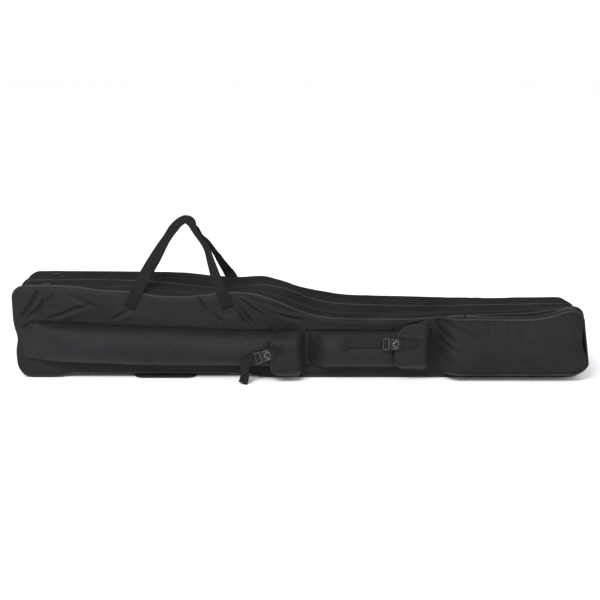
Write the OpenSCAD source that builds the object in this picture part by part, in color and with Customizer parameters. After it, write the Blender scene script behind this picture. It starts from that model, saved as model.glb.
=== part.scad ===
// Two-compartment fishing rod holdall, standing on its base with the reel end at -X.
// The zipped front cover faces -Y and carries two tube pockets and the tip pocket.
// The origin lies on the underside of the base, below the middle of the bag.

/* [Bag] */
// Overall length
bag_l = 1600; // [1500:10:1640]
// Height of the reel end
reel_h = 256; // [240:1:270]
// Height of the narrow neck
neck_h = 178; // [170:1:186]
// Height of the tip end
tip_h = 188; // [180:1:200]
// Depth of both compartments together
bag_d = 200; // [190:1:210]
// Thickness of the padded cloth
cloth = 3; // [2.5:0.5:3.5]
// Rise of the underside over the tucked shoulder strap
arch_h = 14; // [12:1:18]

/* [Pockets] */
// Height of the long pocket at its closed end
long_h = 118; // [110:1:122]
// Height of the long pocket at its mouth
mouth_h = 93; // [88:1:98]
// How far the long pocket stands out
long_out = 60; // [56:1:60]
// Height of the short pocket
short_h = 104; // [96:1:108]
// How far the short pocket stands out
short_out = 55; // [50:1:55]
// How far the tip pocket stands out
tip_out = 48; // [44:1:52]
// Height of the tip pocket's top edge
tip_top = 182; // [176:1:196]

/* [Straps and buckles] */
// Width of the handle and shoulder webbing
web_w = 32; // [28:1:36]
// Width of the buckle webbing
tail_w = 25; // [22:1:26]
// Height of the handles above their sewn ends
handle_rise = 230; // [200:1:240]
// Lean of the handles towards each other
handle_lean = 28.8; // [26:0.1:29]
// Downward tilt of the long pocket's buckle
long_tilt = 18; // [0:1:24]
// Thickness of the shoulder pad
pad_t = 7; // [5:0.5:8]

/* [Hidden] */
$fn = 48;

cloth_col = "#26272a";
web_col = "#1d1f1f";
trim_col = "#3a3b3e";
plastic_col = "#111112";
metal_col = "#2b2b2d";

end_x = bag_l / 2;
face_y = bag_d / 2;
big = 2 * bag_l;

// Corner radii of the side outline
low_r = 46;
left_r = 36;
right_r = 30;
corner_n = 6;

// The top falls from the reel end to the neck, then rises a little to the tip end
slope_x = [-120, 110];
rise_x = [330, 520];

// The underside arches between these two ends
arch_x = [-700, -90];
arch_ramp = 60;

// The covers' end walls start at this height, and their fold lies just above the base
side_z = 45;
cover_z = 3.4;

// Zips: parting line, half width, and the free gap between the two halves
part_y = 62;
zip_w = 8;
zip_gap = 0.15;
tape_t = 1.2;
coil_t = 3;
coil_w = 2.4;
pipe_w = 4;
web_t = 1.6;

function smooth(t) = let (c = min(1, max(0, t))) c * c * (3 - 2 * c);
function ramp(x, span) = smooth((x - span[0]) / (span[1] - span[0]));
function top_z(x) = reel_h - (reel_h - neck_h) * ramp(x, slope_x) + (tip_h - neck_h) * ramp(x, rise_x);
function arch_z(x) =
    arch_h * ramp(x, [arch_x[0], arch_x[0] + arch_ramp]) * (1 - ramp(x, [arch_x[1] - arch_ramp, arch_x[1]]));
function arc(cx, cz, r, from, to, n = corner_n) =
    [for (i = [0 : n]) let (a = from + (to - from) * i / n) [cx + r * cos(a), cz + r * sin(a)]];
function steps(a, b, n) = [for (i = [0 : n]) a + (b - a) * i / n];

// Side outline of the whole bag, drawn in by t
function outline(t) = concat(
    arc(-end_x + low_r, low_r, low_r - t, 180, 270),
    [for (x = steps(arch_x[0], arch_x[0] + arch_ramp, 4)) [x, arch_z(x) + t]],
    [for (x = steps(arch_x[1] - arch_ramp, arch_x[1], 4)) [x, arch_z(x) + t]],
    arc(end_x - low_r, low_r, low_r - t, 270, 360),
    arc(end_x - right_r, tip_h - right_r, right_r - t, 0, 90),
    [for (x = steps(rise_x[1], rise_x[0], 4)) [x, top_z(x) - t]],
    [for (x = steps(slope_x[1], slope_x[0], 10)) [x, top_z(x) - t]],
    arc(-end_x + left_r, reel_h - left_r, left_r - t, 90, 180));

// Side outline of the tip pocket, drawn in by t
tip_x = [392, 788];
tip_z0 = 24;
tip_r = [16, 34];
function tip_outline(t) = concat(
    arc(tip_x[0] + tip_r[0], tip_z0 + tip_r[0], tip_r[0] - t, 180, 270),
    arc(tip_x[1] - tip_r[1], tip_z0 + tip_r[1], tip_r[1] - t, 270, 360),
    arc(tip_x[1] - tip_r[1], tip_top - tip_r[1], tip_r[1] - t, 0, 90),
    arc(tip_x[0] + tip_r[0], tip_top - tip_r[0], tip_r[0] - t, 90, 180));

// A side shape made solid from y0 to y1
module slab(y0, y1) translate([0, y1, 0]) rotate([90, 0, 0]) linear_extrude(y1 - y0) children();
module ring(t0, t1) difference() { polygon(outline(t0)); polygon(outline(t1)); }
module tip_ring(t0, t1) difference() { polygon(tip_outline(t0)); polygon(tip_outline(t1)); }
module above(z) intersection() { children(); translate([-bag_l, z]) square([big, reel_h]); }
module below(z) intersection() { children(); translate([-bag_l, z - reel_h]) square([big, reel_h]); }
module to_back() mirror([0, 1, 0]) children();

// A plan shape made solid from z0 to z1
module plan(z0, z1) translate([0, 0, z0]) linear_extrude(z1 - z0) children();

// ---- Standing frame: base, divider and bands ----

base_y = face_y - cloth - 0.5;
module base_gusset() color(cloth_col) slab(-base_y, base_y) below(side_z) ring(0, cloth);

module base_piping() color(trim_col)
    for (side = [-1, 1]) for (run = [[-end_x + low_r, arch_x[0]], [arch_x[1], end_x - low_r]])
        translate([run[0], side * (base_y + 2) - 2, 0]) cube([run[1] - run[0], 4, cover_z - 1]);

module divider_panel() color(cloth_col) slab(-1, 1) polygon(outline(cloth));

band_y = part_y - zip_w;
module inner_band() color(cloth_col) slab(-band_y, 0) above(side_z) ring(0, cloth);
module front_inner_band() inner_band();
module rear_inner_band() to_back() inner_band();

module middle_piping() color(trim_col) slab(-pipe_w / 2, pipe_w / 2) above(side_z) ring(-2.5, 0);

// One half of a zip: a flat tape with the coil along its free edge
module zip_tape(y0, y1) slab(y0, y1) above(side_z) ring(0.6, 0.6 + tape_t);
module zip_coil(y0, y1) slab(y0, y1) above(side_z) ring(-0.4, coil_t - 0.4);
module zip_inner() color(metal_col) union() {
    zip_tape(-part_y + zip_gap, -band_y);
    zip_coil(-part_y + zip_gap, -part_y + zip_gap + coil_w);
}
module zip_outer() color(metal_col) union() {
    zip_tape(-part_y - zip_w, -part_y - zip_gap);
    zip_coil(-part_y - zip_gap - coil_w, -part_y - zip_gap);
}
module front_zip_inner() zip_inner();
module rear_zip_inner() to_back() zip_inner();

// Touch-tape straps that hold the rods against the divider
rod_strap_x = [-560, -60, 420];
module rod_straps() color(web_col)
    for (x = rod_strap_x) translate([x - 19, -1 - 2.4, 30]) cube([38, 2.4, 120]);
module front_rod_straps() rod_straps();
module rear_rod_straps() to_back() rod_straps();

// ---- Shoulder strap, folded on the ground under and behind the bag ----

// Joins of the flat webbing runs, seen from above
left_route = [[-716, 105.2], [-716, 150], [-640, 150], [-478, -60]];
right_route = [[-262, -60], [-210, -60], [-138, 132], [-90, 152], [110, 152], [140, 128], [140, 105.2]];
pad_x = [-470, -290];
pad_y = [-108, -36];
module flat_run(a, b) {
    d = b - a;
    translate(a) rotate(atan2(d[1], d[0])) translate([0, -web_w / 2]) square([norm(d), web_w]);
}
module flat_route(points) color(web_col) plan(0, web_t) {
    for (i = [0 : len(points) - 2]) flat_run(points[i], points[i + 1]);
    for (i = [1 : len(points) - 2]) translate(points[i]) circle(web_w / 2 + 1, $fn = 12);
}
module shoulder_strap_left() flat_route(concat(left_route, [[-380, -60]]));
module shoulder_strap_right() flat_route(concat([[-379, -60]], right_route));

// The pad is a flat sleeve: the webbing runs through it from end to end
pad_slot = [web_w + 2, web_t + 0.7];
module shoulder_pad() color(web_col) difference() {
    plan(0, pad_t) polygon(concat(
        arc(pad_x[0] + 30, pad_y[0] + 30, 30, 180, 270), arc(pad_x[1] - 30, pad_y[0] + 30, 30, 270, 360),
        arc(pad_x[1] - 30, pad_y[1] - 30, 30, 0, 90), arc(pad_x[0] + 30, pad_y[1] - 30, 30, 90, 180)));
    translate([-end_x, -60 - pad_slot[0] / 2, -1]) cube([bag_l, pad_slot[0], pad_slot[1] + 1]);
}

// Three-bar slide that shortens the strap, on the straight run behind the bag
adjuster_x = 40;
module strap_adjuster() color(plastic_col) difference() {
    translate([adjuster_x - 13, 152 - web_w / 2 - 5, 0]) cube([26, web_w + 10, 6.5]);
    translate([adjuster_x - 14, 152 - web_w / 2 - 1, -1]) cube([28, web_w + 2, web_t + 1.5]);
    for (x = [-8.5, 2.5])
        translate([adjuster_x + x, 152 - web_w / 2 - 1, -1]) cube([6, web_w + 2, 9]);
}

// ---- Covers, one on each side, folding outwards along the base ----

module cover_panel() color(cloth_col) slab(-face_y, -face_y + cloth) above(cover_z) polygon(outline(0));
module cover_rim() color(cloth_col)
    slab(-face_y + cloth, -part_y - zip_w) above(side_z) ring(0, cloth);
module cover_piping() color(trim_col)
    slab(-face_y - 3, -face_y) above(cover_z) ring(-1, pipe_w - 1);
module front_panel() cover_panel();
module front_rim() cover_rim();
// The front piping is let into around the tip pocket's gusset, which crosses it
module front_piping() difference() {
    cover_piping();
    slab(-face_y - 5, -face_y + 1) tip_ring(-0.4, cloth + 0.4);
}
module front_zip_outer() zip_outer();
module rear_panel() to_back() cover_panel();
module rear_rim() to_back() cover_rim();
module rear_piping() to_back() cover_piping();
module rear_zip_outer() to_back() zip_outer();

// ---- Handles ----

handle_x = -328;
handle_half = 129;
rear_shift = 8;
handle_z = 240;
handle_foot = 20;
tab_h = 34;
module handle_tabs() color(web_col) for (side = [-1, 1])
    translate([handle_x + side * handle_half - web_w / 2, -face_y - 2, handle_z - 1 - tab_h])
        cube([web_w, 2, tab_h]);
module front_handle_tabs() handle_tabs();
module rear_handle_tabs() translate([rear_shift, 0, 0]) to_back() handle_tabs();

// One band from sewn end to sewn end, folded over at the top
function mirrored(points) =
    concat(points, [for (i = [len(points) - 1 : -1 : 0]) [-points[i][0], points[i][1]]]);
module handle_band() {
    hw = web_w / 2 + 2;
    r = handle_rise;
    polygon(concat(
        mirrored([[-handle_half - hw, 0], [-41, r - 28], [-26, r - 5], [-10, r]]),
        mirrored([[handle_half - hw, 0], [6, r - 28]])));
}
module band_part(z0, z1) translate([0, 0, -1]) linear_extrude(2) intersection() {
    handle_band();
    translate([-bag_l, z0]) square([big, z1 - z0]);
}
// Its feet stand straight up past the piping, and the rest leans in over the bag
module handle() color(web_col) translate([handle_x, -face_y - 4.4, handle_z]) union() {
    rotate([90, 0, 0]) band_part(0, handle_foot);
    translate([0, 0, handle_foot]) rotate([90 - handle_lean, 0, 0]) translate([0, -handle_foot, 0])
        band_part(handle_foot - 0.8, handle_rise + 1);
}
module front_handle() handle();
module rear_handle() translate([rear_shift, 0, 0]) to_back() handle();

// ---- Tube pockets ----

// Half-round side profile standing out from the front panel, drawn in by t
function tube(h, out, t) =
    [for (i = [0 : 14]) let (a = 90 + 180 * i / 14)
        [-(h / 2 - t) * sin(a), (out - t) * cos(a)]];
module tube_slice(x, z0, h, out, t)
    translate([x, -face_y, z0 + h / 2]) rotate([90, 0, 90]) linear_extrude(1)
        polygon([for (p = tube(h, out, t)) [p[1], -p[0]]]);

long_x = [-780, -77];
long_z = 44;
module long_body(t, x0, x1) hull() {
    tube_slice(x0, long_z, long_h, long_out, t);
    tube_slice(x1 - 1, long_z, mouth_h, long_out, t);
}
module long_pocket() color(cloth_col) difference() {
    long_body(0, long_x[0], long_x[1]);
    long_body(2, long_x[0] + 2, long_x[1] + 2);
}

// Flat flanges that sew a pocket to the panel along its top and bottom
module hem(x0, x1, z0, z1, z2) color(trim_col) slab(-face_y - 1.2, -face_y) {
    polygon([[x0, z0 - 8], [x1, z0 - 8], [x1, z0], [x0, z0]]);
    polygon([[x0, z1], [x1, z2], [x1, z2 + 10], [x0, z1 + 10]]);
}
module long_pocket_hem() hem(long_x[0], long_x[1], long_z, long_z + long_h, long_z + mouth_h);

short_x = [17, 266];
short_z = 36;
short_slant = 34;
module short_body(t, x0, x1) hull() {
    intersection() {
        tube_slice(x0, short_z, short_h, 12, min(t, 1.5));
        translate([x0 - 1, -face_y - 12, 0]) cube([3, 12, reel_h]);
    }
    tube_slice(x0 + short_slant, short_z, short_h, short_out, t);
    tube_slice(x1 - 1, short_z, short_h, short_out, t);
}
module short_pocket() color(cloth_col) difference() {
    short_body(0, short_x[0], short_x[1]);
    short_body(2, short_x[0] + 3, short_x[1] + 2);
}
module short_pocket_hem() hem(short_x[0], short_x[1], short_z, short_z + short_h, short_z + short_h);

// ---- Tip pocket: a zipped tray with a front that folds down ----

tip_part = face_y + 30;
tip_hinge_z = tip_z0;
module tip_pocket_gusset() color(cloth_col) slab(-tip_part + zip_w, -face_y) tip_ring(0, cloth);
module tip_zip_half(y0, y1, c0, c1) color(metal_col) {
    slab(y0, y1) above(side_z) tip_ring(0.6, 0.6 + tape_t);
    slab(c0, c1) above(side_z) tip_ring(-0.4, coil_t - 0.4);
}
module tip_zip_inner()
    tip_zip_half(-tip_part + zip_gap, -tip_part + zip_w,
                 -tip_part + zip_gap, -tip_part + zip_gap + coil_w);
module tip_zip_outer()
    tip_zip_half(-tip_part - zip_w, -tip_part - zip_gap,
                 -tip_part - zip_gap - coil_w, -tip_part - zip_gap);
tip_face = face_y + tip_out;
module tip_pocket_rim() color(cloth_col)
    slab(-tip_face + cloth, -tip_part - zip_w) tip_ring(0, cloth);
module tip_pocket_front() color(cloth_col) slab(-tip_face, -tip_face + cloth) polygon(tip_outline(0));
module tip_pocket_piping() color(trim_col) slab(-tip_face - 3, -tip_face) tip_ring(-1, pipe_w - 1);

// ---- Flaps over the mouths of the tube pockets ----

// Plan of a flap that is sewn down at its right and swells over the pocket's mouth
flap_t = 2.2;
function flap_plan(seam, edge, rear) =
    [[seam - 1.5, -face_y - 1.2], [seam - 50, -rear + 5.5], [seam - 61, -rear], [edge, -rear],
     [edge, -rear - flap_t], [seam - 62, -rear - flap_t], [seam - 51.5, -rear + 3.2],
     [seam, -face_y - 2.6]];
function flap_shape(seam, edge, z0, z1, r, t) = concat(
    arc(edge + r, z0 + r, r - t, 180, 270), [[seam + 1, z0 + t], [seam + 1, z1 - t]],
    arc(edge + r, z1 - r, r - t, 90, 180));
module flap(seam, edge, rear, z0, z1, r) color(cloth_col) intersection() {
    plan(z0, z1) polygon(flap_plan(seam, edge, rear));
    slab(-2 * bag_d, 0) polygon(flap_shape(seam, edge, z0, z1, r, 3));
}
module flap_binding(seam, edge, rear, z0, z1, r) color(trim_col) intersection() {
    plan(z0, z1) polygon(flap_plan(seam, edge, rear));
    slab(-2 * bag_d, 0) difference() {
        polygon(flap_shape(seam, edge, z0, z1, r, 0));
        polygon(flap_shape(seam, edge, z0, z1, r, 3));
    }
}
long_seam = 11;
long_edge = -85;
long_rear = face_y + long_out + 0.8;
module long_flap() flap(long_seam, long_edge, long_rear, 14, 142, 40);
module long_flap_binding() flap_binding(long_seam, long_edge, long_rear, 14, 142, 40);
short_seam = 366;
short_edge = 258;
short_rear = face_y + short_out + 0.8;
module short_flap() flap(short_seam, short_edge, short_rear, 34, 160, 52);
module short_flap_binding() flap_binding(short_seam, short_edge, short_rear, 34, 160, 52);

// ---- Side-release buckles: u runs from the plug into the socket, along +X ----

buckle_w = 34;
socket_l = 33;
plug_l = 18;
release = 30;
long_buckle = [-106, -long_rear - flap_t - 0.5, 84];
short_buckle = [245, -short_rear - flap_t - 0.5, 119];
module at_buckle(place, tilt) translate(place) rotate([0, -tilt, 0]) children();

module socket() color(plastic_col) difference() {
    translate([0.3, -10.5, -buckle_w / 2]) cube([socket_l, 10.5, buckle_w]);
    translate([-1, -8.5, -13.6]) cube([25.3, 10, 27.2]);
    translate([8, -7, -buckle_w]) cube([10, 9, 2 * buckle_w]);
    translate([27, -12, -tail_w / 2 - 0.5]) cube([3.2, 14, tail_w + 1]);
}
module plug() color(plastic_col) {
    difference() {
        translate([-plug_l, -9.5, -buckle_w / 2]) cube([plug_l - 0.3, 8, buckle_w]);
        for (u = [-15.2, -8.4]) translate([u, -11, -tail_w / 2 - 0.5]) cube([3.4, 12, tail_w + 1]);
    }
    translate([-0.3, -7.6, -3]) cube([21.6, 5, 6]);
}
prong_side = [[0.2, 7], [20.5, 7], [21.5, 9], [18, 13.2], [8, 13.2], [8, 10], [0.2, 10]];
// Sprung side prong of the plug, pressed towards the middle to let go
module prong(side) color(plastic_col) rotate([90, 0, 0]) translate([0, 0, 2.6])
    linear_extrude(5) polygon([for (p = prong_side) [p[0], side * p[1]]]);
module long_buckle_socket() at_buckle(long_buckle, long_tilt) socket();
module short_buckle_socket() at_buckle(short_buckle, 0) socket();
module long_buckle_plug() at_buckle(long_buckle, long_tilt) plug();
module short_buckle_plug() at_buckle(short_buckle, 0) plug();
module long_upper_prong() at_buckle(long_buckle, long_tilt) prong(1);
module long_lower_prong() at_buckle(long_buckle, long_tilt) prong(-1);
module short_upper_prong() at_buckle(short_buckle, 0) prong(1);
module short_lower_prong() at_buckle(short_buckle, 0) prong(-1);

// Webbing between the socket's bar and the flap: it folds round the bar and lies flat on the cloth
module socket_strap(length) color(web_col) translate([0, 0, -tail_w / 2]) linear_extrude(tail_w)
    polygon([[27.6, -11.4], [35, -11.4], [35, -2.2], [33 + length, -1.8], [33 + length, -0.3],
             [33.6, -0.3], [33.6, -10.8], [29.2, -10.8], [29.2, -0.2], [27.6, -0.2]]);
module long_flap_strap() at_buckle(long_buckle, long_tilt) socket_strap(30);
module short_flap_strap() at_buckle(short_buckle, 0) socket_strap(44);

// Webbing sewn on the pocket: the plug rides along it
module tail(place, tilt, out, length) at_buckle([place[0], -out - 0.1, place[2]], tilt)
    translate([-plug_l - length, -web_t, -tail_w / 2]) cube([length + plug_l - 4, web_t, tail_w]);
module long_tail_strap() color(web_col) {
    tail(long_buckle, long_tilt, face_y + long_out, 30);
    translate([-164, -face_y - long_out - 3.4, 3]) cube([tail_w, 1.6, 60]);
}
module short_tail_strap() color(web_col) tail(short_buckle, 0, face_y + short_out, 110);

// ---- Zip sliders and their pulls ----

slider_l = 15;
pin_r = 0.7;
pin_z = 5.4;
// Slider plate and post, with its zip running along X and the coil top at z = 0
module slider() color(metal_col) difference() {
    union() {
        translate([0, -3.4, 0.3]) cube([slider_l, 6.6, 1.6]);
        translate([slider_l / 2 - 3, -1, 0]) translate([0, 0, 1.9]) cube([6, 2, 5.5]);
    }
    translate([slider_l / 2, 0, pin_z]) rotate([90, 0, 0]) cylinder(r = pin_r + 0.08, h = 8, center = true);
}
// Pull tab lying back along -X, on a pin through the post
module pull() color(metal_col) translate([slider_l / 2, 0, pin_z]) difference() {
    union() {
        rotate([90, 0, 0]) cylinder(r = pin_r, h = 5.2, center = true);
        for (side = [-1, 1]) {
            translate([0, side * 1.9, 0]) rotate([90, 0, 0]) cylinder(r = 1.5, h = 1.4, center = true);
            translate([-6, side * 1.9 - 0.7, -0.6]) cube([6, 1.4, 1.2]);
        }
        translate([-26, -3, -0.6]) cube([21, 6, 1.2]);
    }
    translate([-23, 0, -1]) cylinder(r = 1.2, h = 2);
}
bag_slider = [-700, -part_y + zip_gap + 3.6, reel_h + 0.4];
module front_zip_slider() translate(bag_slider) slider();
module front_zip_pull() translate(bag_slider) pull();
module rear_zip_slider() to_back() translate(bag_slider) slider();
module rear_zip_pull() to_back() translate(bag_slider) pull();
tip_slider = [448, -tip_part + zip_gap + 3.6, tip_top + 0.4];
module tip_zip_slider() translate(tip_slider) slider();
module tip_zip_pull() translate(tip_slider) pull();

base_gusset();
base_piping();
divider_panel();
front_inner_band();
rear_inner_band();
middle_piping();
front_zip_inner();
rear_zip_inner();
front_rod_straps();
rear_rod_straps();
shoulder_strap_left();
shoulder_strap_right();
shoulder_pad();
strap_adjuster();
front_panel();
front_rim();
front_piping();
front_zip_outer();
front_handle_tabs();
long_pocket();
long_pocket_hem();
short_pocket();
short_pocket_hem();
long_tail_strap();
short_tail_strap();
tip_pocket_gusset();
tip_zip_inner();
tip_pocket_front();
tip_pocket_rim();
tip_zip_outer();
tip_pocket_piping();
rear_panel();
rear_rim();
rear_piping();
rear_zip_outer();
rear_handle_tabs();
front_handle();
rear_handle();
long_flap();
long_flap_binding();
long_flap_strap();
long_buckle_socket();
short_flap();
short_flap_binding();
short_flap_strap();
short_buckle_socket();
long_buckle_plug();
long_upper_prong();
long_lower_prong();
short_buckle_plug();
short_upper_prong();
short_lower_prong();
front_zip_slider();
front_zip_pull();
rear_zip_slider();
rear_zip_pull();
tip_zip_slider();
tip_zip_pull();
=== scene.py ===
import math

import bmesh
import bpy
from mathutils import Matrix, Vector, noise


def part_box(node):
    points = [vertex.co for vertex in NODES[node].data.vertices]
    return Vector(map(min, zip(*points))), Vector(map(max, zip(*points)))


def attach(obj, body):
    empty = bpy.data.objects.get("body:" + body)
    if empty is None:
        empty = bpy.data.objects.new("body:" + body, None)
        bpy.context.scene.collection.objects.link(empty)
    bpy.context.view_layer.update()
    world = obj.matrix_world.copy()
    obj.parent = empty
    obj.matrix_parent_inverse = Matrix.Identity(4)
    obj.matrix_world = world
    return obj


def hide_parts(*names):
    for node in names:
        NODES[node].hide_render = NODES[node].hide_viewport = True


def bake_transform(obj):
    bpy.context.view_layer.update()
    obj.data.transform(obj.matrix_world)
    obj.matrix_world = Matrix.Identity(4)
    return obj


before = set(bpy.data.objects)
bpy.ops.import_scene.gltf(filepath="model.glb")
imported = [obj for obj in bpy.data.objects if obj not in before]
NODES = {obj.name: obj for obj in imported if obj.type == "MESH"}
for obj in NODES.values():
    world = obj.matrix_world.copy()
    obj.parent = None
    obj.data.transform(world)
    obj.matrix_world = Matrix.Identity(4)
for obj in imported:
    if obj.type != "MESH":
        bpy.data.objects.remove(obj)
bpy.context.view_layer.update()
MM = 0.001


# ---- Sizes read from the frame ----

def span(node, axis):
    """A CAD node's box along one axis, low and high, in millimetres."""
    return tuple(end[axis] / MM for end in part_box(node))


X, Y, Z = range(3)
SIDES = ((-1, "front"), (1, "rear"))
OUT = Vector((0, -1, 0))

# Widths of a zip half and of the two kinds of webbing, and half the gap between a zip's coils
ZIP_W = 8
WEB_W = 32
TAIL_W = 25
ZIP_GAP = 0.15

# Thicknesses of the cloth, and radii of the piping
PANEL_T = 2.0
FLAP_T = 1.8
POCKET_T = 1.6
PIPING_R = 2.3
THIN_PIPING_R = 2.2
BINDING_R = 1.9
SEAM_R = 1.4

END_X = span("front_panel", X)[1]
FACE_Y = -span("front_panel", Y)[0]
SIDE_Z, REEL_Z = span("front_inner_band", Z)
ZIP_Y = -span("front_zip_outer", Y)[0] - ZIP_W
BASE_Y = span("base_gusset", Y)[1]
LONG_X = span("long_pocket", X)
LONG_OUT = -span("long_pocket", Y)[0] - FACE_Y
SHORT_X = span("short_pocket", X)
SHORT_Z = span("short_pocket", Z)
SHORT_OUT = -span("short_pocket", Y)[0] - FACE_Y
TIP_X = span("tip_pocket_front", X)
TIP_Z = span("tip_pocket_front", Z)
TIP_Y = -span("tip_pocket_front", Y)[0]
TIP_PART = -span("tip_zip_inner", Y)[0]
HANDLE_TOP = span("front_handle", Z)[1]
HANDLE_Z = span("front_handle_tabs", Z)[1] + 1


# ---- Curves and noise ----

def smooth(t):
    t = min(1.0, max(0.0, t))
    return t * t * (3 - 2 * t)


def ramp(x, a, b):
    return smooth((x - a) / (b - a))


def lerp(a, b, t):
    return a + (b - a) * t


def spread(a, b, step):
    """Evenly spaced numbers from a to b, about step apart."""
    n = max(2, round(abs(b - a) / step))
    return [lerp(a, b, i / n) for i in range(n + 1)]


def corner_cut(gap, radius):
    """How far a rounded corner cuts into one edge, gap away from the other edge."""
    short = max(0.0, radius - gap)
    return radius - math.sqrt(max(0.0, radius ** 2 - short ** 2))


def quarter(start, n):
    """Unit vectors (across, up) round a quarter turn, clockwise from an angle in degrees, in n steps."""
    angles = [math.radians(start - 90 * k / n) for k in range(n + 1)]
    return [(math.cos(a), math.sin(a)) for a in angles]


def keyed(points):
    """A smooth curve through (x, value) points."""
    xs = [p[0] for p in points]
    vs = [p[1] for p in points]
    slopes = [0.0] * len(xs)
    for i in range(1, len(xs) - 1):
        slopes[i] = (vs[i + 1] - vs[i - 1]) / (xs[i + 1] - xs[i - 1])

    def value(x):
        if x <= xs[0]:
            return vs[0]
        if x >= xs[-1]:
            return vs[-1]
        i = max(k for k in range(len(xs)) if xs[k] <= x)
        i = min(i, len(xs) - 2)
        h = xs[i + 1] - xs[i]
        t = (x - xs[i]) / h
        a = (1 + 2 * t) * (1 - t) ** 2
        b = t * (1 - t) ** 2 * h
        c = t * t * (3 - 2 * t)
        d = t * t * (t - 1) * h
        return a * vs[i] + b * slopes[i] + c * vs[i + 1] + d * slopes[i + 1]

    return value


def rumple(x, y, z, size, seed=0.0):
    """Smooth noise between -1 and 1, with features about size millimetres across."""
    return noise.noise(Vector((x / size + seed, y / size + 2.7 * seed, z / size - seed)))


def crease(x, z, a, b, width, depth):
    """A soft valley from point a to point b in the side view, with ridges beside it."""
    ax, az = a
    bx, bz = b
    length = math.hypot(bx - ax, bz - az)
    ux, uz = (bx - ax) / length, (bz - az) / length
    along = (x - ax) * ux + (z - az) * uz
    across = -(x - ax) * uz + (z - az) * ux
    across += 5 * rumple(x, 0, z, 60, 3.1)
    fade = ramp(along, -0.15 * length, 0.2 * length) * (1 - ramp(along, 0.7 * length, 1.15 * length))
    s = across / width
    return depth * fade * (1.5 * s * s - 1) * math.exp(-s * s)


# ---- Meshes ----

CORD_SIDES = 8


def finish_mesh(name, bm, body, material, replaced=(), smooth_shade=True):
    """Writes a millimetre bmesh as an object that rides on a body and stands for CAD nodes."""
    bmesh.ops.recalc_face_normals(bm, faces=bm.faces)
    mesh = bpy.data.meshes.new(name)
    for v in bm.verts:
        v.co *= MM
    bm.to_mesh(mesh)
    bm.free()
    for poly in mesh.polygons:
        poly.use_smooth = smooth_shade
    piece = bpy.data.objects.new(name, mesh)
    bpy.context.scene.collection.objects.link(piece)
    mesh.materials.append(MATERIALS[material])
    if body:
        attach(piece, body)
    if replaced:
        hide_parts(*replaced)
    return piece


def pairs(n, closed=False):
    """Neighbouring indices among n, round to the first one if closed."""
    return [(i, (i + 1) % n) for i in range(n if closed else n - 1)]


def add_grid(bm, rows, close_rows=False, close_cols=False):
    """Adds a sheet of quads through rows of points, and returns its vertices row by row."""
    grid = [[bm.verts.new(p) for p in row] for row in rows]
    for i, k in pairs(len(grid), close_rows):
        for j, m in pairs(len(grid[0]), close_cols):
            bm.faces.new((grid[i][j], grid[i][m], grid[k][m], grid[k][j]))
    return grid


def add_bar(bm, rows):
    """Adds a closed solid through rings of points, and returns its vertices ring by ring."""
    grid = add_grid(bm, rows, close_cols=True)
    bm.faces.new(grid[0])
    bm.faces.new(grid[-1][::-1])
    return grid


def close_shell(bm, grid, inner, close_cols=False):
    """Makes a sheet from add_grid into a closed shell, with rows of inner points behind it."""
    back = [[bm.verts.new(p) for p in row] for row in inner]
    down = pairs(len(grid))
    over = pairs(len(grid[0]), close_cols)
    for i, k in down:
        for j, m in over:
            bm.faces.new((back[i][j], back[k][j], back[k][m], back[i][m]))
    for i in (0, -1):
        for j, m in over:
            bm.faces.new((grid[i][j], back[i][j], back[i][m], grid[i][m]))
    if not close_cols:
        for j in (0, -1):
            for i, k in down:
                bm.faces.new((grid[i][j], grid[k][j], back[k][j], back[i][j]))


def sheet_piece(name, rows, thickness, body, material, replaced=(), close_cols=False):
    """A closed cloth shell through rows of points, growing against its normals."""
    bm = bmesh.new()
    grid = add_grid(bm, rows, close_cols=close_cols)
    bm.normal_update()
    inner = [[v.co - v.normal * thickness for v in row] for row in grid]
    close_shell(bm, grid, inner, close_cols)
    return finish_mesh(name, bm, body, material, replaced)


def frames_along(points, closed=False):
    """Unit directions of a path at each of its points."""
    last = len(points) - 1
    result = []
    for i in range(len(points)):
        before = i - 1 if closed or i else 0
        after = 0 if closed and i == last else min(i + 1, last)
        result.append((Vector(points[after]) - Vector(points[before])).normalized())
    return result


def add_tube(bm, points, radius, closed=False, up=Vector((0, 1, 0))):
    """A round cord along a path."""
    rows = []
    for p, d in zip(points, frames_along(points, closed)):
        s = up.cross(d)
        if s.length < 1e-6:
            s = Vector((1, 0, 0)).cross(d)
        s.normalize()
        t = d.cross(s)
        rows.append([Vector(p) + radius * (math.cos(a) * s + math.sin(a) * t)
                     for a in (2 * math.pi * k / CORD_SIDES for k in range(CORD_SIDES))])
    if closed:
        add_grid(bm, rows, close_rows=True, close_cols=True)
    else:
        add_bar(bm, rows)


def resample(points, step):
    """Points at an even spacing along a polyline."""
    points = [Vector(p) for p in points]
    total = sum((b - a).length for a, b in zip(points, points[1:]))
    count = max(2, round(total / step))
    result = [points[0].copy()]
    target = total / count
    walked = 0.0
    goal = target
    for a, b in zip(points, points[1:]):
        length = (b - a).length
        while length > 0 and walked + length >= goal - 1e-9 and len(result) <= count:
            result.append(a.lerp(b, (goal - walked) / length))
            goal += target
        walked += length
    result[-1] = points[-1].copy()
    return result


def spline(points, step):
    """An evenly spaced smooth path through given points."""
    pts = [Vector(p) for p in points]
    dense = []
    for i in range(len(pts) - 1):
        p0 = pts[max(i - 1, 0)]
        p1 = pts[i]
        p2 = pts[i + 1]
        p3 = pts[min(i + 2, len(pts) - 1)]
        for k in range(16):
            t = k / 16
            dense.append(0.5 * (2 * p1 + (p2 - p0) * t + (2 * p0 - 5 * p1 + 4 * p2 - p3) * t * t
                                + (3 * p1 - p0 - 3 * p2 + p3) * t ** 3))
    dense.append(pts[-1])
    return resample(dense, step)


# ---- Materials ----

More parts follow.
